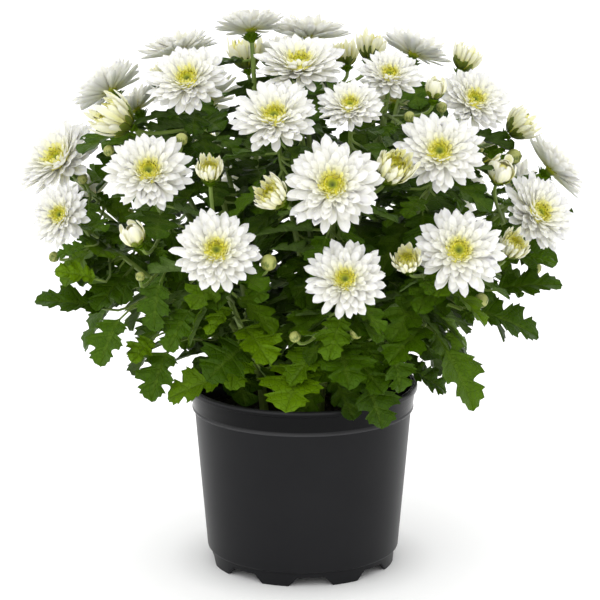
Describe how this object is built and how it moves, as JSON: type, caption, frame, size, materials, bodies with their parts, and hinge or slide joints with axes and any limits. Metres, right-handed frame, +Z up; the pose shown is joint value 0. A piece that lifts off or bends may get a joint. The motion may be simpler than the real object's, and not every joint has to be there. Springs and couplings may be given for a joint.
{
  "type": "pot chrysanthemum",
  "caption": "Flowering house plant: a dome of double white chrysanthemum blooms and buds over lobed green leaves, on stems standing in soil in a round black nursery pot.",
  "frame": {"origin": "middle of the pot's foot, on the surface that it stands on", "axes": "+Z up along the pot's axis, -Y towards the front of the picture's view, +X to its right"},
  "size_m": [0.3605, 0.3296, 0.3632],
  "materials": {
    "pot": "charcoal-black moulded plastic with a soft satin sheen",
    "soil": "dark, damp, crumbly potting soil",
    "foliage": "fresh green leaves with paler veins, softly glossy; stems lighter green",
    "petals": "matt white petals, cream at their bases, with a yellow-green centre",
    "young_petals": "cream-white opening petals with a yellow centre"
  },
  "bodies": {
    "root": {"bloom_01": "petals", "bloom_02": "petals", "bloom_03": "petals", "bloom_04": "petals", "bloom_05": "petals", "bloom_06": "petals", "bloom_07": "petals", "bloom_08": "petals", "bloom_09": "petals", "bloom_10": "petals", "bloom_11": "petals", "bloom_12": "petals", "bloom_13": "petals", "bloom_14": "petals", "bloom_15": "petals", "bloom_16": "petals", "bloom_17": "petals", "bloom_18": "petals", "bloom_19": "petals", "bloom_20": "petals", "bloom_21": "petals", "bloom_22": "petals", "bloom_23": "petals", "bloom_24": "petals", "bloom_25": "petals", "bloom_26": "petals", "bloom_27": "petals", "bloom_28": "petals", "bloom_29": "petals", "bloom_30": "petals", "bloom_31": "petals", "bloom_32": "petals", "bloom_33": "petals", "cream_bud_01": "young_petals", "cream_bud_02": "young_petals", "cream_bud_03": "young_petals", "half_bloom_01": "young_petals", "half_bloom_02": "young_petals", "half_bloom_03": "young_petals", "half_bloom_04": "young_petals", "half_bloom_05": "young_petals", "half_bloom_06": "young_petals", "half_bloom_07": "young_petals", "half_bloom_08": "young_petals", "half_bloom_09": "young_petals", "half_bloom_10": "young_petals", "half_bloom_11": "young_petals", "half_bloom_12": "young_petals", "half_bloom_13": "young_petals", "half_bloom_14": "young_petals", "plant_1": "foliage", "plant_2": "foliage", "plant_3": "foliage", "plant_4": "foliage", "plant_5": "foliage", "pot": "pot", "soil": "soil"}
  },
  "joints": []
}
